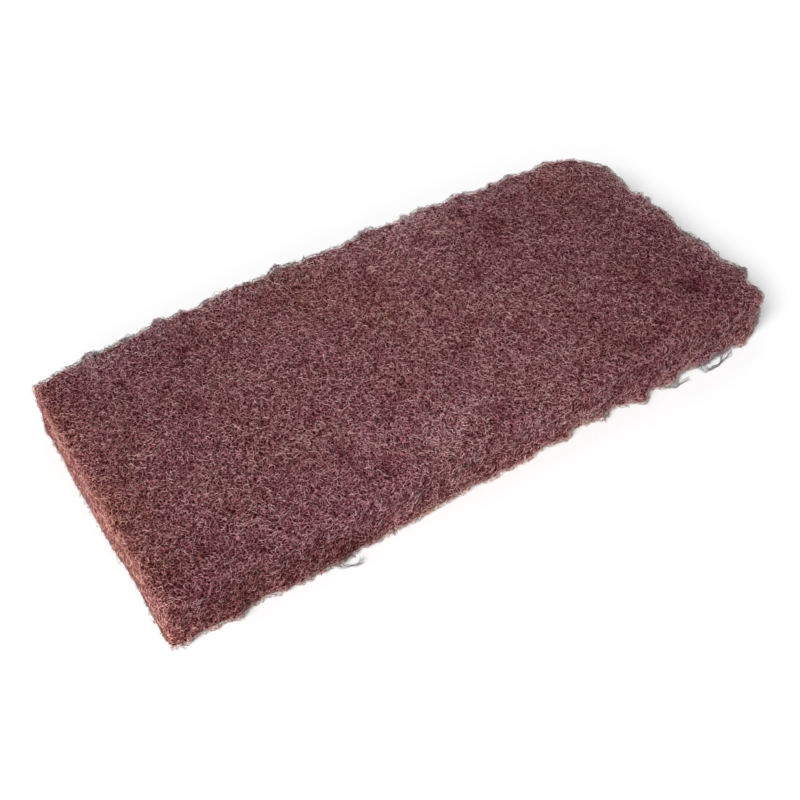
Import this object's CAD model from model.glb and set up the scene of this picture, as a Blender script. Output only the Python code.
from math import cos, pi, radians, sin

import bpy
import numpy as np
from mathutils import Matrix, Vector, noise
from mathutils.bvhtree import BVHTree

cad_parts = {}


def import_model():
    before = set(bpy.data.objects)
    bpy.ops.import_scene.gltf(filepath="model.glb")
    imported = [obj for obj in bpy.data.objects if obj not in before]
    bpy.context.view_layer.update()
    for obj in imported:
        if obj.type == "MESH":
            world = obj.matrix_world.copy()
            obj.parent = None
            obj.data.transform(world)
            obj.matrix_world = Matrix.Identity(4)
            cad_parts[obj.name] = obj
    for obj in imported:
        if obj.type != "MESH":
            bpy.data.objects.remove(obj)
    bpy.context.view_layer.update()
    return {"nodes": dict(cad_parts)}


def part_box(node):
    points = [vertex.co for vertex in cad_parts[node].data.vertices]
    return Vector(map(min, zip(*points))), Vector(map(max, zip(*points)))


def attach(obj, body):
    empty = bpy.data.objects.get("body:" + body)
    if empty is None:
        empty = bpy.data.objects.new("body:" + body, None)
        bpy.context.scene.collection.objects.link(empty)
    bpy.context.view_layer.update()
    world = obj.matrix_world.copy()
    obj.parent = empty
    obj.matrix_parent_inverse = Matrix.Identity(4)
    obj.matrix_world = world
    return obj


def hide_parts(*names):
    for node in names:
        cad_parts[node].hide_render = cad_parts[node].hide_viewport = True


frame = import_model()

MM = 0.001
SEED = 20
# What a length is divided by at least
TINY = 1e-12

# The photograph's camera: angles in degrees, lens and sensor in millimetres, the rest in metres
AZIMUTH = -33.11
ELEVATION = 47.98
ROLL = -0.26
DISTANCE = 0.4073
AIM = Vector((-0.0100, -0.0083, 0.0))
LENS = 49.02
SENSOR = 36.0
CLIP_START = 0.01

PAD = frame["nodes"]["pad"]
LOW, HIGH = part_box("pad")


# Reading the solid


def read_solid(obj):
    """The solid's points, triangles, triangle normals and areas as arrays."""
    mesh = obj.data
    mesh.calc_loop_triangles()
    points = np.array([v.co for v in mesh.vertices])
    triangles = np.array([t.vertices for t in mesh.loop_triangles])
    a, b, c = (points[triangles[:, k]] for k in range(3))
    cross = np.cross(b - a, c - a)
    size = np.linalg.norm(cross, axis=1)
    return points, triangles, cross / np.maximum(size, TINY)[:, None], size / 2


POINTS, TRIANGLES, NORMALS, AREAS = read_solid(PAD)
SURFACE = BVHTree.FromPolygons(POINTS.tolist(), TRIANGLES.tolist())

# The faces of the slab, told apart by where a triangle's normal points: squarely one way, or
# just towards it
SQUARE, TOWARDS = 0.7, 0.5
WALL = np.abs(NORMALS[:, 2]) <= SQUARE
FACES = {
    "top": NORMALS[:, 2] > SQUARE,
    "underside": NORMALS[:, 2] < -SQUARE,
    "cut_end": WALL & (NORMALS[:, 0] < -SQUARE),
    "worn_end": WALL & (NORMALS[:, 0] > TOWARDS),
    "near_wall": WALL & (NORMALS[:, 1] < -SQUARE),
    "far_wall": WALL & (NORMALS[:, 1] > TOWARDS) & (NORMALS[:, 0] <= TOWARDS),
}
WALLS = BVHTree.FromPolygons(POINTS.tolist(), TRIANGLES[WALL].tolist())
WALL_REACH = 3.5 * MM


def unit(vectors):
    return vectors / np.maximum(np.linalg.norm(vectors, axis=-1, keepdims=True), TINY)


def onto_surface(places):
    """The nearest points of the solid's surface, and the normals there."""
    found = [SURFACE.find_nearest(p)[:2] for p in places]
    return np.array([f[0] for f in found]), np.array([f[1] for f in found])


def to_wall(places):
    """Which way the nearest side faces, and a share: 1 at that side, less further in."""
    found = [WALLS.find_nearest(p) for p in places]
    facing = np.array([f[1] for f in found]) * (1, 1, 0)
    return unit(facing), np.exp(-((np.array([f[3] for f in found]) / WALL_REACH) ** 2))


def to_rim(places):
    """How far each place is from the upper edge of the far side or the worn end, in metres."""
    below = places[:, 2] - HIGH.z
    far = np.hypot(places[:, 1] - HIGH.y, below)
    worn = np.hypot(places[:, 0] - HIGH.x, below)
    return np.minimum(far, worn)


def scatter(face, count, rng):
    """Random places spread evenly over one face of the slab."""
    among = np.nonzero(FACES[face])[0]
    share = AREAS[among] / AREAS[among].sum()
    picked = TRIANGLES[among[rng.choice(len(among), count, p=share)]]
    u, v = rng.random((2, count, 1))
    over = (u + v) > 1
    u, v = np.where(over, 1 - u, u), np.where(over, 1 - v, v)
    a, b, c = (POINTS[picked[:, k]] for k in range(3))
    return a + u * (b - a) + v * (c - a)


# Multiples of these two numbers fill a square without the clusters and gaps of chance
EVEN_STEPS = np.array([0.7548776662, 0.5698402910])
EVEN_START = 0.5
EVEN_JITTER = 0.2 * MM


def spread_evenly(first, count, rng):
    """Places over the top, from the first to the first + count of one even sequence."""
    share = (EVEN_START + np.arange(first, first + count)[:, None] * EVEN_STEPS) % 1
    low, high = np.array(LOW)[:2], np.array(HIGH)[:2]
    flat = low + share * (high - low) + rng.normal(0, EVEN_JITTER, (count, 2))
    places = np.column_stack([flat, np.full(count, HIGH.z)])
    return places[onto_surface(places)[1][:, 2] > TOWARDS]


# Unevenness of the web, in millimetres

TUFT_SPAN = 5.0
LUMP_SPAN = 2.0
TOP_TUFT, WALL_TUFT, CUT_TUFT = 0.38, 1.4, 0.2
LUMP = 0.16
# The rims and the foot are more ragged: how much there, over what distance, and how far in
RIM_RAGGED, FOOT_RAGGED = 1.3, 0.9
RAGGED_SPAN, RAGGED_REACH = 2.1, 4.0

# The four edges: Y and Z of those along the length, X and Z of those across the width
NEAR_EDGE, FAR_EDGE = (-58, 2), (56, 22)
WORN_EDGE, CUT_EDGE = (127, 20), (-127, 10)


def along_length(edge, spots):
    """Full places of spots that are given by their X on an edge along the length."""
    return [(x, *edge, *rest) for x, *rest in spots]


def across_width(edge, spots):
    """Full places of spots that are given by their Y on an edge across the width."""
    x, z = edge
    return [(x, y, z, *rest) for y, *rest in spots]


# Tufts that stand out of the edges, and notches between them: place, radius and height
NEAR_TUFTS = [
    (-120, 3, 0.5), (-104, 4, 1.2), (-94, 5, -1.0), (-87, 3, 0.4), (-72, 10, 1.4),
    (-55, 2.5, 0.7), (-26, 3, -0.4), (-14, 9, 0.6), (14, 7, -1.2), (36, 4, -2.4), (46, 3, 1.0),
    (54, 6, -0.6), (65, 3, 2.8), (70, 3, -2.6), (80, 2.5, 1.0), (86, 3.5, -1.6), (90, 3, 0.7),
    (99, 3, 1.5), (106, 5, 0.4), (115, 5, 0.9),
]
FAR_TUFTS = [
    (10, 60, 1.0), (-104, 3, 1.2), (-96, 3, -1.2), (-88, 4, 1.0), (-74, 3, 1.1), (-65, 4, 0.6),
    (-55, 3, -0.5), (-45, 8, -0.6), (-32, 12, 0.9), (-22, 5, 1.7), (5, 8, -0.5),
    (-14, 3, -0.5), (15, 3, 0.7), (22, 4, -0.6), (32, 5, -1.5), (37, 3, -1.0), (45, 3, -0.4),
    (62, 6, 1.5), (80, 13, 1.4), (85, 3, -0.7), (90, 3, 0.8), (95, 3, 0.6), (120, 6, -1.2),
]
WORN_TUFTS = [
    (0, 50, -0.9), (-51, 5, -3.0), (-41, 3, 1.9), (-33, 3.5, -2.8), (-20, 3, 1.6),
    (-9, 3, -2.2), (10, 4, -0.6), (20, 4, -1.9), (28, 3, 0.4), (36, 4, 1.4), (41, 3, 0.6),
]
CUT_TUFTS = [(38, 9, -1.6), (-30, 14, -0.7)]
TUFTS = (
    along_length(NEAR_EDGE, NEAR_TUFTS)
    + along_length(FAR_EDGE, FAR_TUFTS)
    + across_width(WORN_EDGE, WORN_TUFTS)
    + across_width(CUT_EDGE, CUT_TUFTS)
)
# Dents where the web is torn open or pressed in: place on the top, radius and depth
DENTS = [
    (-50, -35, 3.5, 1.0), (-40, -48, 4.5, 1.0), (-24, -25, 3, 0.9), (13, -16, 3, 0.9),
    (38, 13, 4.5, 0.8), (35, -17, 3.5, 0.7), (-105, -43, 3.5, 0.9), (-118, -47, 3.5, 0.7),
    (5, -48, 4, 1.0), (42, -46, 3.5, 0.9), (-35, 45, 3.5, 0.9), (-22, 46, 3, 0.8),
    (33, 43, 4, 0.9), (62, 33, 5.5, 0.9), (58, 47, 4, 0.8), (115, -3, 4, 0.8),
    (90, -24, 4.5, 0.9), (105, -38, 5, 0.9), (80, -48, 4.5, 0.8), (-82, 12, 3.5, 0.7),
    (-74, 37, 3, 0.7), (-48, -15, 3, 0.7), (-15, -20, 2.5, 0.7), (66, -50, 4, 0.8),
    (-92, -35, 3, 0.7), (96, 44, 4, 0.7), (-100, 12, 3, 0.6), (3, 32, 4, 0.7),
    (-3, -32, 3, 0.6), (22, -8, 3, 0.6),
]

# Fuzz at the edges: how far it stands out, and over what distance and by what share that varies
FUZZ, FUZZ_SPAN, FUZZ_WAVE = 0.35, 2.5, 1.5
# Most fibres of the fuzz stand out little and a few far: the two shapes of a beta distribution
FUZZ_SHAPES = (1, 1.6)
# Where the fuzz lies, as for the edges above
FAR_RIM, NEAR_FOOT = (58, 23.5), (-58.5, 1.5)
WORN_RIM, CUT_FOOT = (127, 23.5), (-127, 3)
CORNER_TOP, CORNER_FOOT = (127, -55, 22), (124, -58, 2)
CLUMP_RADIUS = 2.0


def clumps(*spots):
    """Spots of fuzz, each given by its place along the edge and how far it stands out."""
    return [(place, CLUMP_RADIUS, out) for place, out in spots]


FAR_CLUMPS = along_length(FAR_RIM, clumps(
    (-104, 4.4), (-96, 1.2), (-89, 3.2), (-75, 1.4), (-66, 0.6), (-55, 0.4), (-37, 0.5),
    (-24, 0.5), (-17, 0.6), (-5, 0.4), (15, 0.6), (34, 1.0), (43, 0.5), (64, 0.6), (88, 0.7),
))
WORN_CLUMPS = across_width(WORN_RIM, clumps(
    (38, 0.6), (24, 0.4), (10, 0.3), (-13, 0.6), (-20, 0.8), (-30, 0.9), (-42, 0.6), (-54, 0.4),
))
FOOT_CLUMPS = along_length(NEAR_FOOT, clumps(
    (-65, 1.2), (79.5, 0.9), (95, 1.0), (99, 0.9), (103, 0.9), (108, 0.7),
))
CLUMPS = FAR_CLUMPS + WORN_CLUMPS + FOOT_CLUMPS


def nearness(places, spots):
    """How near each place is to each spot: 1 at the spot's middle, near 0 past its radius."""
    table = np.array(spots, float)
    middle, radius = table[:, :-2], table[:, -2]
    away = np.linalg.norm(places[:, None, : middle.shape[1]] / MM - middle[None], axis=2)
    return np.exp(-((away / radius[None]) ** 2))


def felt(places, spots):
    """The strengths of all spots, the last number of each, as they are felt at each place."""
    return nearness(places, spots) @ np.array([spot[-1] for spot in spots])


def fade(away, reach):
    """1 where the distance is none, and near 0 past the reach. The reach is in millimetres."""
    return np.exp(-((away / MM / reach) ** 2))


def rough(places, span):
    return np.array([noise.noise(Vector(p) / (span * MM)) for p in places])


def swell(places, normals):
    """How far, and which way, the web stands out from the solid at each place, in metres."""
    facing, near = to_wall(places)
    cut = np.clip(-facing[:, 0], 0, 1)
    slow = rough(places, TUFT_SPAN)
    side = (WALL_TUFT + cut * (CUT_TUFT - WALL_TUFT)) * slow
    side += felt(places, TUFTS)
    to_foot = np.hypot(places[:, 1] - LOW.y, places[:, 2] - LOW.z)
    ragged = RIM_RAGGED * fade(to_rim(places), RAGGED_REACH)
    ragged = ragged + FOOT_RAGGED * fade(to_foot, RAGGED_REACH)
    side += ragged * rough(places, RAGGED_SPAN)
    own = TOP_TUFT * slow * np.abs(normals[:, 2]) + LUMP * rough(places, LUMP_SPAN)
    own -= felt(places, DENTS) * np.clip(normals[:, 2], 0, 1)
    return (facing * (near * side)[:, None] + normals * own[:, None]) * MM


def fuzz(places):
    """How far the loosest fibres of the edges stand out at each place, in metres."""
    even = FUZZ * (1 + FUZZ_WAVE * rough(places, FUZZ_SPAN))
    return (even + felt(places, CLUMPS)) * MM


# Stains and other changes of colour. Places, radii and reaches are in millimetres, and every
# colour is what the web's own colour is multiplied by.

# Where the web is rubbed pale, dirty, wine red or browned: x, y, z, radius and strength
RUBBED = [
    (-38, 8, 23, 19, 0.5), (-62, 16, 23, 11, 0.8), (-60, -22, 23, 13, 0.7),
    (-40, -32, 23, 10, 1.8), (-18, -48, 23, 10, 3.2), (0, -42, 23, 9, 2.1),
    (40, -42, 23, 8, 0.7), (60, -18, 23, 9, 0.7), (40, -2, 23, 14, 0.9), (30, 20, 23, 10, 0.7),
    (22, 36, 23, 12, 0.8), (34, 50, 23, 14, 2.1), (62, 50, 22, 9, 1.5), (101, 50, 22, 8, 2.1),
    (0, 50, 22, 8, 0.8), (-80, 50, 23, 8, 0.9), (-100, 50, 23, 8, 2.6),
    (126, -25, 20, 13, 1.5), (121, 5, 22, 7, 0.7), (124, -54, 12, 10, 0.8),
    (-100, -50, 23, 8, 0.7), (-82, -52, 22, 9, 1.8), (-58, -54, 22, 8, 1.2),
    (-42, -53, 22, 9, 1.6), (40, -53, 23, 9, 0.5), (72, -52, 23, 9, 0.5),
    (20, -58, 18, 11, 1.6), (42, -58, 6, 8, 1.4), (82, -60, 4, 8, 2.5),
    (-90, -30, 23, 24, 0.4), (10, -32, 23, 22, 0.6),
]
DIRTY = [
    (130, 0, 23, 75, 1.0), (-95, 45, 23, 22, 0.4), (-72, 36, 23, 18, 0.45),
    (62, 36, 23, 15, 0.6), (40, 35, 23, 9, 0.4), (100, 20, 23, 9, 0.6), (60, 5, 23, 9, 0.3),
    (80, 50, 22, 9, 0.5), (-20, 50, 22, 8, 0.35),
]
WINE = [
    (98, -14, 23, 14, 0.6), (108, -40, 23, 17, 0.95), (60, -32, 23, 11, 0.4),
    (-120, 37, 23, 9, 0.9), (-100, -58, 5, 13, 1.3), (-80, -58, 10, 12, 0.7),
    (-105, -58, 16, 14, 0.6), (-72, -58, 3, 15, 0.8), (-60, -58, 3, 8, 2.2),
    (0, -58, 14, 12, 0.3), (60, -58, 14, 11, 0.7), (80, -58, 14, 6, 1.0),
    (96, -60, 12, 15, 0.45),
]
BROWN = [
    (-20, 38, 23, 15, 1.0), (0, 22, 23, 13, 1.0), (104, 38, 23, 14, 0.6),
    (-110, -30, 23, 7, 0.5), (-120, -15, 23, 10, 1.0), (0, -58, 8, 9, 1.0),
    (-100, -58, 5, 13, 0.7),
]
# The colour of each kind is for strength 1
STAINS = [
    (RUBBED, (1.10, 1.16, 1.16)),
    (DIRTY, (0.78, 0.77, 0.78)),
    (WINE, (0.80, 0.72, 0.74)),
    (BROWN, (0.98, 0.96, 0.85)),
]
DENT_TINT = (0.74, 0.58, 0.60)
# The fresh cut at the left end shows paler web: most on its upper edge, less further in
CUT_TINT, CUT_REACH = (1.09, 1.05, 0.88), 9.0
CUT_EDGE_TINT, CUT_EDGE_PLACE, CUT_EDGE_REACH = (1.17, 1.18, 1.20), 2.6, 2.0
CUT_CORE_TINT, CUT_CORE_REACH = (1.40, 1.58, 1.56), 3.0
# The foot of the walls is paler, apart from the cut end's
FOOT_TINT, FOOT_REACH = (1.75, 1.95, 1.65), 3.4
# Greyer where the far and the worn edge thin out
RIM_TINT, RIM_REACH = (1.17, 1.37, 1.33), 9.0
# Dark and light bands along the near side: height, half width and colour
NEAR_BANDS = [(21, 5, (0.95, 0.89, 0.92)), (8, 4, (1.11, 1.07, 1.03))]


def turned(share, colour):
    """No change where the share is 0, and the colour where it is 1."""
    return 1 + share[:, None] * (np.array(colour) - 1)


def tint(places):
    """What stains, dents and the fresh cut multiply the web's colour by, at each place."""
    colour = np.ones((len(places), 3))
    for spots, kind in STAINS:
        colour *= np.array(kind) ** felt(places, spots)[:, None]
    dented = nearness(places, DENTS).sum(1).clip(0, 1) * (places[:, 2] > HIGH.z / 2)
    colour *= turned(dented, DENT_TINT)
    from_cut = (places[:, 0] - LOW.x).clip(0)
    by_cut = fade(from_cut, CUT_REACH)
    colour *= turned(by_cut, CUT_TINT)
    colour *= turned(fade(from_cut - CUT_EDGE_PLACE * MM, CUT_EDGE_REACH), CUT_EDGE_TINT)
    colour *= turned(fade(to_rim(places), RIM_REACH), RIM_TINT)
    for height, reach, band in NEAR_BANDS:
        away = np.hypot(places[:, 1] - LOW.y, places[:, 2] - height * MM)
        colour *= turned(fade(away, reach), band)
    by_wall = to_wall(places)[1] * (1 - by_cut)
    return colour * turned(fade(places[:, 2], FOOT_REACH) * by_wall, FOOT_TINT)


# Fibres

LONG = np.array((1.0, 0.0, 0.0))
WIDE = np.array((0.0, 1.0, 0.0))
# The least share of its bend that a fibre curls by, and how quickly fibres weave up and down
LEAST_CURL = 0.2
WEAVE_RATE = (0.8, 1.9)
# A fibre is a tube with this many sides
SIDES = 3
# The tone of what is neither a light nor a dark fibre
MIDDLE_TONE = 0.5


def walk(starts, along, spread, steps, stride, bend, kink, rng):
    """Lead each fibre over the surface in a curly line. Returns its places and the normals."""
    count = len(starts)
    places, normals = onto_surface(starts)
    turn = rng.normal(0, spread, (count, 1))
    flat = unit(along - normals * (normals @ along)[:, None])
    heading = flat * np.cos(turn) + np.cross(normals, flat) * np.sin(turn)
    heading *= rng.choice((-1, 1), (count, 1))
    curl = rng.choice((-1, 1), (count, 1)) * rng.uniform(LEAST_CURL, 1, (count, 1)) * bend
    path, stand = [places], [normals]
    for _ in range(steps):
        angle = (curl + rng.normal(0, kink, (count, 1))) * stride
        heading = heading * np.cos(angle) + np.cross(normals, heading) * np.sin(angle)
        places, normals = onto_surface(places + heading * stride)
        heading = unit(heading - normals * (heading * normals).sum(1)[:, None])
        path.append(places)
        stand.append(normals)
    return np.stack(path, 1), np.stack(stand, 1)


def arch(path, stand, depth, rise, wave, rng):
    """Lift the middle of each fibre, let it weave, and sink its ends into the web."""
    count, steps = path.shape[:2]
    share = np.linspace(0, 1, steps)[None]
    base = rng.uniform(depth[0], depth[1], (count, 1))
    lift = rng.uniform(rise[0], rise[1], (count, 1))
    start = rng.uniform(0, 2 * pi, (count, 1))
    rate = rng.uniform(*WEAVE_RATE, (count, 1))
    height = base + lift * np.sin(share * pi) + wave * np.sin(start + np.arange(steps) * rate)
    return path + stand * height[..., None]


def tubes(path, stand, radius, taper):
    """Three-sided closed tubes along the paths: points, quads and end triangles."""
    count, steps = path.shape[:2]
    tangent = unit(np.gradient(path, axis=1))
    side = unit(np.cross(stand, tangent))
    up = np.cross(tangent, side)
    share = np.linspace(-1, 1, steps)[None, :, None]
    size = radius[:, None, None] * (1 - taper * share**4)
    ring = []
    for corner in range(SIDES):
        angle = pi / 2 + corner * 2 * pi / SIDES
        ring.append(path + size * (side * cos(angle) + up * sin(angle)))
    points = np.stack(ring, 2).reshape(-1, 3)
    first = (np.arange(count)[:, None] * steps + np.arange(steps - 1)[None]) * SIDES
    quads = []
    for corner in range(SIDES):
        after = (corner + 1) % SIDES
        corners = [first + corner, first + after, first + SIDES + after, first + SIDES + corner]
        quads.append(np.stack(corners, -1))
    quads = np.stack(quads, 2).reshape(-1, 4)
    start = np.arange(count) * steps * SIDES
    end = start + (steps - 1) * SIDES
    caps = np.concatenate([start[:, None] + [2, 1, 0], end[:, None] + [0, 1, 2]])
    return points, quads, caps


def colour_points(mesh, colours, tone):
    """Give a mesh what its material reads: the tint of each point, and the fibre's own tone."""
    shade = mesh.attributes.new("tint", "FLOAT_COLOR", "POINT")
    shade.data.foreach_set("color", np.column_stack([colours, np.ones(len(colours))]).ravel())
    mesh.attributes.new("tone", "FLOAT", "POINT").data.foreach_set("value", tone)


def make_piece(name, points, faces, material, colours, tone):
    mesh = bpy.data.meshes.new(name)
    mesh.from_pydata(points.tolist(), [], faces)
    colour_points(mesh, colours, tone)
    mesh.shade_smooth()
    mesh.materials.append(material)
    obj = bpy.data.objects.new(name, mesh)
    bpy.context.scene.collection.objects.link(obj)
    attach(obj, "root")
    return obj


def fibres(
    name, starts, material, rng, steps=5, stride=0.58, bend=0.9, kink=1.5, along=LONG,
    spread=3.0, depth=(-0.9, 0.1), rise=(0.0, 0.5), wave=0.26, radius=(0.060, 0.110),
    taper=0.4, faded=(1.0, 1.0, 1.0), loose=0.0,
):
    """One piece of web: many fibres that start at these places. Lengths are in millimetres.

    A fibre sets out along a direction, give or take the spread, and takes some steps of one
    stride each. It turns steadily by up to the bend, and at random by the kink. Its ends lie at
    the depth, its middle rises from there, and it weaves by the wave. Its colour is multiplied
    by faded. A loose fibre also leans out of the edges.
    """
    count = len(starts)
    path, stand = walk(starts, along, spread, steps, stride * MM, bend / MM, kink / MM, rng)
    flat_path, flat_stand = path.reshape(-1, 3), stand.reshape(-1, 3)
    colours = np.repeat(tint(flat_path) * np.array(faded), SIDES, axis=0)
    path = path + swell(flat_path, flat_stand).reshape(path.shape)
    if loose:
        facing, near = to_wall(flat_path)
        lean = unit(flat_stand + facing * near[:, None]).reshape(path.shape)
        out = fuzz(flat_path).reshape(count, -1, 1) * rng.beta(*FUZZ_SHAPES, (count, 1, 1))
        path = path + lean * (out * loose)
    path = arch(path, stand, np.array(depth) * MM, np.array(rise) * MM, wave * MM, rng)
    path[..., 2] = np.maximum(path[..., 2], LOW.z + radius[1] * MM)
    thick = rng.uniform(radius[0], radius[1], count) * MM
    points, quads, caps = tubes(path, stand, thick, taper)
    tone = np.repeat(rng.random(count), path.shape[1] * SIDES)
    return make_piece(name, points, quads.tolist() + caps.tolist(), material, colours, tone)


# Materials

# Ramps from dark to light: place on the ramp, and colour
FIBRE_COLOURS = [
    (0.42, (0.161, 0.042, 0.050)), (0.65, (0.447, 0.231, 0.239)), (0.90, (0.62, 0.41, 0.42)),
]
CORE_COLOURS = [
    (0.0, (0.020, 0.003, 0.005)), (0.5, (0.13, 0.036, 0.045)), (1.0, (0.40, 0.17, 0.18)),
]
FLECK_COLOURS = [
    (0.31, (0.57, 0.44, 0.44)), (0.40, (0.97, 0.93, 0.94)),
    (0.50, (1.0, 1.0, 1.0)), (0.66, (1.04, 1.07, 1.07)),
]
DRIFT_COLOURS = [(0.40, (0.99, 1.0, 0.95)), (0.60, (1.0, 0.98, 1.02))]
# Noise in the colour: how many times it turns round in a metre, and how detailed it is
DRIFT, FLECKS, GRIT = (60.0, 3.0), (420.0, 2.0), (1500.0, 2.0)
# How much a fibre's own tone counts beside its grit
TONE_SHARE = 0.28
FIBRE_ROUGHNESS, FIBRE_SHINE = 0.62, 0.05
CORE_ROUGHNESS, CORE_SHINE = 0.85, 0.0
# The two layers of lines in the core: how many in a metre, and where the pattern starts
UPPER_LINES, UPPER_START = 800.0, (0, 0, 0)
LOWER_LINES, LOWER_START = 1050.0, (0.3, 0.1, 0.2)
LOWER_HEIGHT = 0.6
LINE_DEPTH = 0.4 * MM
# The lines wander by a noise: its scale beside theirs, its detail, and how far they move. That
# and their width are shares of a cell.
LINE_WANDER, LINE_DETAIL = 0.8, 1.0
LINE_BEND, LINE_WIDTH = 1.6, 0.16
NOISE_MIDDLE = (0.5, 0.5, 0.5)


def node(tree, kind, inputs=None, **settings):
    made = tree.nodes.new(kind)
    for key, value in settings.items():
        setattr(made, key, value)
    for key, value in (inputs or {}).items():
        if isinstance(value, bpy.types.NodeSocket):
            tree.links.new(value, made.inputs[key])
        else:
            made.inputs[key].default_value = value
    return made


def math_node(tree, operation, *values):
    inputs = dict(enumerate(values))
    return node(tree, "ShaderNodeMath", inputs, operation=operation).outputs[0]


def vector_node(tree, operation, *values):
    inputs = dict(enumerate(values))
    return node(tree, "ShaderNodeVectorMath", inputs, operation=operation).outputs[0]


def noise_pattern(tree, place, scale, detail):
    return node(
        tree, "ShaderNodeTexNoise", {"Vector": place, "Scale": scale, "Detail": detail}
    ).outputs


def ramp(tree, value, stops):
    made = node(tree, "ShaderNodeValToRGB", {"Fac": value})
    elements = made.color_ramp.elements
    while len(elements) < len(stops):
        elements.new(0.5)
    for element, (place, colour) in zip(elements, stops):
        element.position = place
        element.color = (*colour, 1)
    return made.outputs["Color"]


def multiply(tree, first, second):
    """One colour times another. The Mix node's colours are its inputs 6 and 7 and output 2."""
    mixed = {0: 1.0, 6: first, 7: second}
    return node(
        tree, "ShaderNodeMix", mixed, data_type="RGBA", blend_type="MULTIPLY"
    ).outputs[2]


def new_material(name):
    material = bpy.data.materials.new(name)
    material.use_nodes = True
    return material, material.node_tree, material.node_tree.nodes["Principled BSDF"]


def attribute(tree, name, output):
    return node(tree, "ShaderNodeAttribute", attribute_name=name).outputs[output]


def dye(tree, place, own):
    """A thread's own colour after the drift of the dye, the flecks and the stains."""
    drift = noise_pattern(tree, place, *DRIFT)["Fac"]
    flecks = noise_pattern(tree, place, *FLECKS)["Fac"]
    colour = multiply(tree, own, ramp(tree, drift, DRIFT_COLOURS))
    colour = multiply(tree, colour, ramp(tree, flecks, FLECK_COLOURS))
    return multiply(tree, colour, attribute(tree, "tint", "Color"))


def fibre_material():
    material, tree, shader = new_material("web_fibre")
    place = node(tree, "ShaderNodeTexCoord").outputs["Object"]
    grit = noise_pattern(tree, place, *GRIT)["Fac"]
    both = math_node(tree, "MULTIPLY_ADD", attribute(tree, "tone", "Fac"), TONE_SHARE, grit)
    own = ramp(tree, both, FIBRE_COLOURS)
    tree.links.new(dye(tree, place, own), shader.inputs["Base Color"])
    shader.inputs["Roughness"].default_value = FIBRE_ROUGHNESS
    shader.inputs["Specular IOR Level"].default_value = FIBRE_SHINE
    return material


def web_lines(tree, place, scale, start):
    """Bright along the walls of distorted cells, which read as the deeper fibres."""
    moved = vector_node(tree, "ADD", place, start)
    wander = noise_pattern(tree, moved, scale * LINE_WANDER, LINE_DETAIL)["Color"]
    centred = vector_node(tree, "SUBTRACT", wander, NOISE_MIDDLE)
    bent = vector_node(tree, "MULTIPLY_ADD", centred, (LINE_BEND / scale,) * 3, moved)
    cells = node(
        tree, "ShaderNodeTexVoronoi", {"Vector": bent, "Scale": scale}, feature="DISTANCE_TO_EDGE"
    )
    to_edge = cells.outputs["Distance"]
    bright = {"Value": to_edge, "From Max": LINE_WIDTH, "To Min": 1.0, "To Max": 0.0}
    return node(tree, "ShaderNodeMapRange", bright).outputs["Result"]


def core_material():
    material, tree, shader = new_material("web_core")
    place = node(tree, "ShaderNodeTexCoord").outputs["Object"]
    upper = web_lines(tree, place, UPPER_LINES, UPPER_START)
    lower = web_lines(tree, place, LOWER_LINES, LOWER_START)
    height = math_node(tree, "MAXIMUM", upper, math_node(tree, "MULTIPLY", lower, LOWER_HEIGHT))
    own = ramp(tree, height, CORE_COLOURS)
    tree.links.new(dye(tree, place, own), shader.inputs["Base Color"])
    relief = {"Height": height, "Distance": LINE_DEPTH, "Strength": 1.0}
    normal = node(tree, "ShaderNodeBump", relief).outputs["Normal"]
    tree.links.new(normal, shader.inputs["Normal"])
    shader.inputs["Roughness"].default_value = CORE_ROUGHNESS
    shader.inputs["Specular IOR Level"].default_value = CORE_SHINE
    return material


# The core: the solid in finer cells, swollen as the web is and shrunk under its fibres

CORE_VOXEL = 1.6 * MM
CORE_INSET = 0.5 * MM
CORE_LIFT = 0.1 * MM


def core(material):
    obj = bpy.data.objects.new("web_core", PAD.data.copy())
    bpy.context.scene.collection.objects.link(obj)
    remesh = obj.modifiers.new("remesh", "REMESH")
    remesh.mode = "VOXEL"
    remesh.voxel_size = CORE_VOXEL
    graph = bpy.context.evaluated_depsgraph_get()
    dense = bpy.data.meshes.new_from_object(obj.evaluated_get(graph))
    obj.modifiers.clear()
    obj.data = dense
    places = np.array([v.co for v in dense.vertices])
    normals = np.array([v.normal for v in dense.vertices])
    moved = places + swell(places, normals) - normals * CORE_INSET
    moved[:, 2] = np.maximum(moved[:, 2], LOW.z + CORE_LIFT)
    dense.vertices.foreach_set("co", moved.ravel())
    by_cut = turned(fade(moved[:, 0] - LOW.x, CUT_CORE_REACH), CUT_CORE_TINT)
    colour_points(dense, tint(places) * by_cut, np.full(len(places), MIDDLE_TONE))
    dense.shade_smooth()
    dense.materials.clear()
    dense.materials.append(material)
    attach(obj, "root")
    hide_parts("pad")
    return obj


# The web's pieces: how many fibres each has, where they start and how they differ from a plain
# fibre of the web. Lengths are in millimetres.

# The top is in several pieces, because one would have too many triangles
TOP_PIECES, TOP_COUNT = 3, 5200
OTHER_FACES = {
    "near_wall": (3200, {}),
    "far_wall": (1300, {"spread": 0.8}),
    "cut_end": (1500, {"along": WIDE, "spread": 1.6, "depth": (-1.2, -0.3), "rise": (0.0, 0.2)}),
    "worn_end": (1100, {"along": WIDE, "spread": 0.9}),
    "underside": (800, {"stride": 1.1, "kink": 1.0}),
}

# Long pale fibres lie loose on the web: some anywhere, more along the near half of its middle
CURLS_ANYWHERE, CURLS_NEAR_MIDDLE = 240, 140
CURL_MIDDLE, CURL_SPREAD = (-30, -20, 23.5), (50, 20, 0)
CURL_STYLE = {
    "steps": 11, "stride": 0.75, "bend": 0.25, "kink": 0.35, "depth": (-0.2, 0.15),
    "rise": (0.0, 0.3), "wave": 0.16, "radius": (0.05, 0.07), "faded": (1.17, 1.18, 1.03),
}

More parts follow.
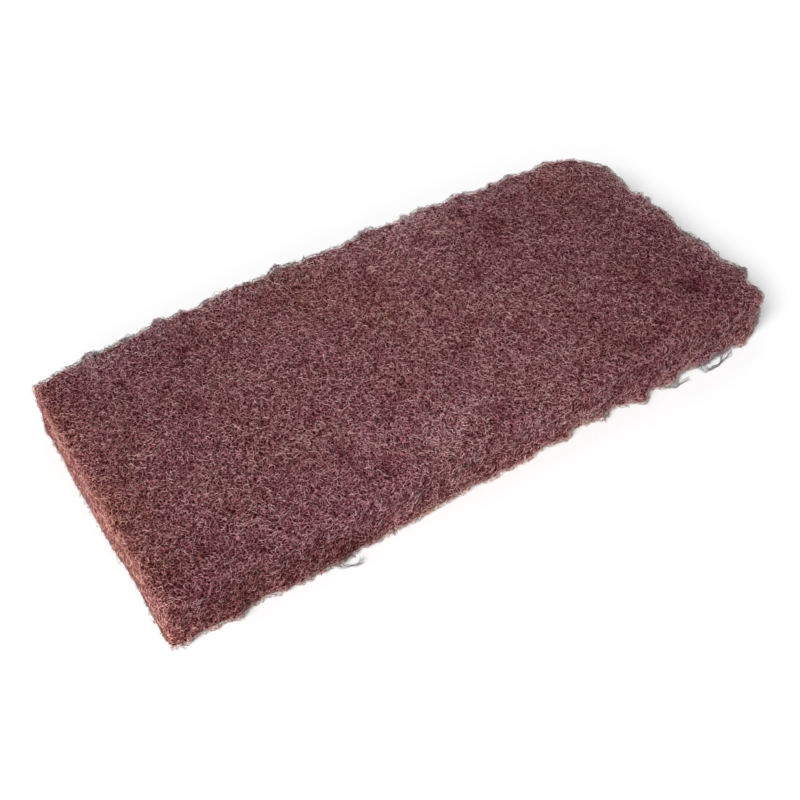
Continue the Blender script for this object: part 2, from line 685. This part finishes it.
# Loose fibres gather round the tufts that are higher than this, and lie along the walls
LOOSE_AT_TUFTS, LOOSE_ON_WALLS = 300, 450
HIGH_TUFT, TUFT_SPREAD = 0.8, 4.5
LOOSE_WALLS = ["near_wall", "far_wall", "worn_end"]
LOOSE_STYLE = {
    "stride": 0.9, "depth": (-0.3, 0.2), "rise": (0.1, 0.9), "wave": 0.3,
    "radius": (0.06, 0.09), "faded": (0.62, 0.82, 0.86),
}

# The fringes of fuzz along the edges: first end, last end, clumps, count, and what differs
FRINGES = {
    "far_fringe": (
        (-126, *FAR_RIM), (114, *FAR_RIM), FAR_CLUMPS, 1500, {"faded": (0.55, 0.60, 0.61)},
    ),
    "worn_fringe": (
        (WORN_RIM[0], 50, WORN_RIM[1]), (WORN_RIM[0], -57, WORN_RIM[1]), WORN_CLUMPS, 1000,
        {"faded": (0.53, 0.60, 0.61)},
    ),
    "near_fringe": (
        (-126, *NEAR_FOOT), (124, *NEAR_FOOT), [], 800,
        {"faded": (0.74, 0.72, 0.72), "loose": 0.35},
    ),
    "foot_clumps": (
        (76, *NEAR_FOOT), (112, *NEAR_FOOT), FOOT_CLUMPS, 240, {"faded": (0.55, 0.80, 0.86)},
    ),
    "corner_fringe": (
        CORNER_TOP, CORNER_FOOT, [], 220, {"faded": (0.52, 0.63, 0.65), "along": WIDE},
    ),
    "cut_fringe": (
        (CUT_FOOT[0], -57, CUT_FOOT[1]), (CUT_FOOT[0], 50, CUT_FOOT[1]), [], 50,
        {"faded": (0.50, 0.60, 0.56), "loose": 0.2},
    ),
}
FRINGE_STYLE = {
    "stride": 0.5, "kink": 2.2, "depth": (-0.8, 0.2), "rise": (0.0, 0.6),
    "radius": (0.05, 0.09), "loose": 1.0,
}
# A fringe keeps this close to its edge, and one fibre in this many goes to its clumps
FRINGE_SPREAD, CLUMPED = 1.2, 3
# How close fibres of a clump, and hairs, keep to its middle
BESIDE_SPREAD = 1.0

# Where hairs stand out of the long edges and of the worn end, and how many at each place
EDGE_STRAYS = [
    (-103, 57, 22), (-100, 54, 22), (-88, 56, 22), (-75, 57, 22), (-52, 55, 22), (-24, 59, 22),
    (-15, 59, 22), (17, 59, 22), (105, -60, 1), (101, -61, 1), (96, -61, 1), (83, -61, 1),
    (78, -61, 1), (63, -60, 1), (48, -57, 1), (-45, -59, 2),
]
END_STRAYS = [
    (128, 38, 22), (127, 26, 22), (127, -13, 22), (128, -18, 22), (128, -23, 22),
    (127, -31, 22), (127, -44, 22), (126, -52, 21),
]
HAIRS_AT_EACH = 6
HAIR_TINT = (0.42, 0.68, 0.74)
HAIR_STYLE = {
    "steps": 7, "bend": 0.6, "kink": 0.8, "spread": 0.5, "depth": (-0.2, 0.4),
    "rise": (0.3, 1.4), "radius": (0.055, 0.085), "faded": HAIR_TINT,
}

# Torn strands that hang out of the near edge and lie on the floor, each a few hairs on a route
STRANDS = [
    [(-68.8, -57.6, 1.4), (-67.6, -59.2, 0.6), (-65.8, -60.6, 0.4), (-64, -61, 0.5),
     (-62.6, -61.9, 0.5), (-61.2, -61.9, 0.6), (-60.1, -61.7, 1.2), (-60.2, -61, 1.9)],
    [(78, -58.2, 1.4), (79, -60.4, 0.6), (80.6, -60.7, 0.4), (84, -60.1, 0.4),
     (87.6, -59.8, 0.4)],
    [(94, -58.2, 1.4), (94.8, -60.5, 0.6), (97.5, -60.9, 0.5), (101, -60.8, 0.5),
     (105, -60.4, 0.5), (109, -59.4, 0.6), (111, -58.2, 1.2)],
    [(96, -58.4, 1.2), (97.4, -61.1, 0.5), (99.6, -59.8, 0.5), (102, -61.2, 0.5),
     (104, -59.9, 0.6), (106, -58.4, 1.2)],
]
STRAND_HAIRS, STRAND_RADIUS, STRAND_JITTER, STRAND_TAPER = 7, 0.055, 0.5, 0.3
# The share of each leg that is cut off at either end to round a route
CORNER_CUT = 0.25


def near_middle(count, rng):
    return rng.normal(CURL_MIDDLE, CURL_SPREAD, (count, 3)) * MM


def around_tufts(count, rng):
    """Places gathered round the higher tufts at the edges."""
    middles = np.array([spot[:3] for spot in TUFTS if spot[-1] > HIGH_TUFT])
    picked = middles[rng.choice(len(middles), count)]
    return (picked + rng.normal(0, TUFT_SPREAD, (count, 3))) * MM


def along_walls(count, rng):
    each = count // len(LOOSE_WALLS)
    return np.concatenate([scatter(face, each, rng) for face in LOOSE_WALLS])


def beside(middles, count, rng):
    """Some places close to each of the middles."""
    places = np.repeat(np.array(middles, float), count, axis=0)
    return (places + rng.normal(0, BESIDE_SPREAD, places.shape)) * MM


def line_up(first, last, count, rng):
    """Places along an edge, in a narrow band."""
    share = rng.random((count, 1))
    places = (1 - share) * np.array(first) + share * np.array(last)
    return (places + rng.normal(0, FRINGE_SPREAD, (count, 3))) * MM


def fringe(name, material, rng):
    """Fuzz along an edge and in its clumps."""
    first, last, spots, count, style = FRINGES[name]
    gathered = np.zeros((0, 3))
    if spots:
        middles = [spot[:3] for spot in spots]
        gathered = beside(middles, count // (CLUMPED * len(spots)), rng)
    starts = np.concatenate([line_up(first, last, count - len(gathered), rng), gathered])
    fibres(name, starts, material, rng, **{**FRINGE_STYLE, **style})


def round_off(path):
    """Cut the corners of each path, which leaves its ends in place."""
    before, after = path[:, :-1], path[:, 1:]
    far, near = CORNER_CUT, 1 - CORNER_CUT
    cut = np.stack([near * before + far * after, far * before + near * after], 2)
    return np.concatenate([path[:, :1], cut.reshape(len(path), -1, 3), path[:, -1:]], 1)


def strand(name, route, material, rng):
    """A few hairs side by side along one route."""
    jitter = rng.normal(0, STRAND_JITTER * MM, (STRAND_HAIRS, len(route), 3))
    path = round_off(round_off(np.array(route) * MM + jitter))
    path[..., 2] = np.maximum(path[..., 2], LOW.z + STRAND_RADIUS * MM)
    stand = np.broadcast_to((0.0, 0.0, 1.0), path.shape)
    radius = np.full(STRAND_HAIRS, STRAND_RADIUS * MM)
    points, quads, caps = tubes(path, stand, radius, STRAND_TAPER)
    colours = np.tile(HAIR_TINT, (len(points), 1))
    tone = np.full(len(points), MIDDLE_TONE)
    make_piece(name, points, quads.tolist() + caps.tolist(), material, colours, tone)


def web():
    """All the pieces. They share one stream of random numbers, so their order matters."""
    rng = np.random.default_rng(SEED)
    fibre = fibre_material()
    core(core_material())
    for part in range(TOP_PIECES):
        starts = spread_evenly(part * TOP_COUNT, TOP_COUNT, rng)
        fibres(f"top_fibres_{part + 1}", starts, fibre, rng)
    curls = [scatter("top", CURLS_ANYWHERE, rng), near_middle(CURLS_NEAR_MIDDLE, rng)]
    fibres("long_curls", np.concatenate(curls), fibre, rng, **CURL_STYLE)
    for face, (count, style) in OTHER_FACES.items():
        fibres(f"{face}_fibres", scatter(face, count, rng), fibre, rng, **style)
    loose = [around_tufts(LOOSE_AT_TUFTS, rng), along_walls(LOOSE_ON_WALLS, rng)]
    fibres("loose_fibres", np.concatenate(loose), fibre, rng, **LOOSE_STYLE)
    for name in FRINGES:
        fringe(name, fibre, rng)
    hairs = beside(EDGE_STRAYS, HAIRS_AT_EACH, rng)
    fibres("edge_hairs", hairs, fibre, rng, **HAIR_STYLE)
    hairs = beside(END_STRAYS, HAIRS_AT_EACH, rng)
    fibres("end_hairs", hairs, fibre, rng, along=WIDE, **HAIR_STYLE)
    for number, route in enumerate(STRANDS, 1):
        strand(f"strand_{number}", route, fibre, rng)


# Stage: lights and floor in metres, angles in degrees

SUN_FROM = Vector((-0.67, -0.30, 0.68))
SUN_STRENGTH, SUN_SPREAD = 4.45, 26
FILL_PLACE = Vector((-0.42, -0.42, 0.30))
FILL_SIZE, FILL_POWER = 0.35, 1.1
# The background's strength as a light, and where it is seen
WORLD_LIGHT, WORLD_SEEN = 0.42, 1.0
FLOOR_SIZE = 6.0
FLOOR_GAP = 0.02 * MM
FLOOR_WHITE = (0.70, 0.70, 0.70, 1)
# A little glow lifts the shadow where the floor is seen
FLOOR_GLOW = 0.012


def camera():
    a, e, roll = radians(AZIMUTH), radians(ELEVATION), radians(ROLL)
    back = Vector((sin(a) * cos(e), -cos(a) * cos(e), sin(e)))
    right = Vector((cos(a), sin(a), 0))
    up = back.cross(right)
    tilted_right = right * cos(roll) + up * sin(roll)
    tilted_up = up * cos(roll) - right * sin(roll)
    data = bpy.data.cameras.new("camera")
    data.lens = LENS
    data.sensor_width = SENSOR
    data.clip_start = CLIP_START
    obj = bpy.data.objects.new("camera", data)
    turn = Matrix((tilted_right, tilted_up, back)).transposed().to_4x4()
    obj.matrix_world = Matrix.Translation(AIM + back * DISTANCE) @ turn
    bpy.context.scene.collection.objects.link(obj)
    bpy.context.scene.camera = obj


def light(kind, name, place, toward, power):
    data = bpy.data.lights.new(name, kind)
    data.energy = power
    obj = bpy.data.objects.new(name, data)
    obj.location = place
    obj.rotation_mode = "QUATERNION"
    obj.rotation_quaternion = toward.to_track_quat("-Z", "Y")
    bpy.context.scene.collection.objects.link(obj)
    return data


def lights():
    """A broad sun from the left, and a weak fill that is aimed at the origin."""
    key = light("SUN", "key", Vector(), -SUN_FROM, SUN_STRENGTH)
    key.angle = radians(SUN_SPREAD)
    fill = light("AREA", "fill", FILL_PLACE, -FILL_PLACE, FILL_POWER)
    fill.shape = "DISK"
    fill.size = FILL_SIZE


def seen_directly(tree):
    """1 for rays from the camera and for those mirrored or let through, else 0."""
    rays = node(tree, "ShaderNodeLightPath").outputs
    seen = math_node(tree, "MAXIMUM", rays["Is Camera Ray"], rays["Is Glossy Ray"])
    return math_node(tree, "MAXIMUM", seen, rays["Is Transmission Ray"])


def floor():
    bpy.ops.mesh.primitive_plane_add(size=FLOOR_SIZE, location=(0, 0, LOW.z - FLOOR_GAP))
    obj = bpy.context.object
    obj.name = "floor"
    material, tree, shader = new_material("floor")
    shader.inputs["Base Color"].default_value = FLOOR_WHITE
    shader.inputs["Roughness"].default_value = 1.0
    shader.inputs["Specular IOR Level"].default_value = 0.0
    glow = math_node(tree, "MULTIPLY", seen_directly(tree), FLOOR_GLOW)
    lit = node(tree, "ShaderNodeEmission", {"Strength": glow}).outputs["Emission"]
    both = node(tree, "ShaderNodeAddShader", {0: shader.outputs["BSDF"], 1: lit})
    tree.links.new(both.outputs["Shader"], tree.nodes["Material Output"].inputs["Surface"])
    obj.data.materials.append(material)


def world():
    made = bpy.data.worlds.new("studio")
    bpy.context.scene.world = made
    made.use_nodes = True
    tree = made.node_tree
    background = tree.nodes["Background"]
    background.inputs["Color"].default_value = (1, 1, 1, 1)
    strengths = {"Value": seen_directly(tree), "To Min": WORLD_LIGHT, "To Max": WORLD_SEEN}
    strength = node(tree, "ShaderNodeMapRange", strengths).outputs["Result"]
    tree.links.new(strength, background.inputs["Strength"])


web()
camera()
lights()
world()
floor()
bpy.context.scene.view_settings.view_transform = "Standard"
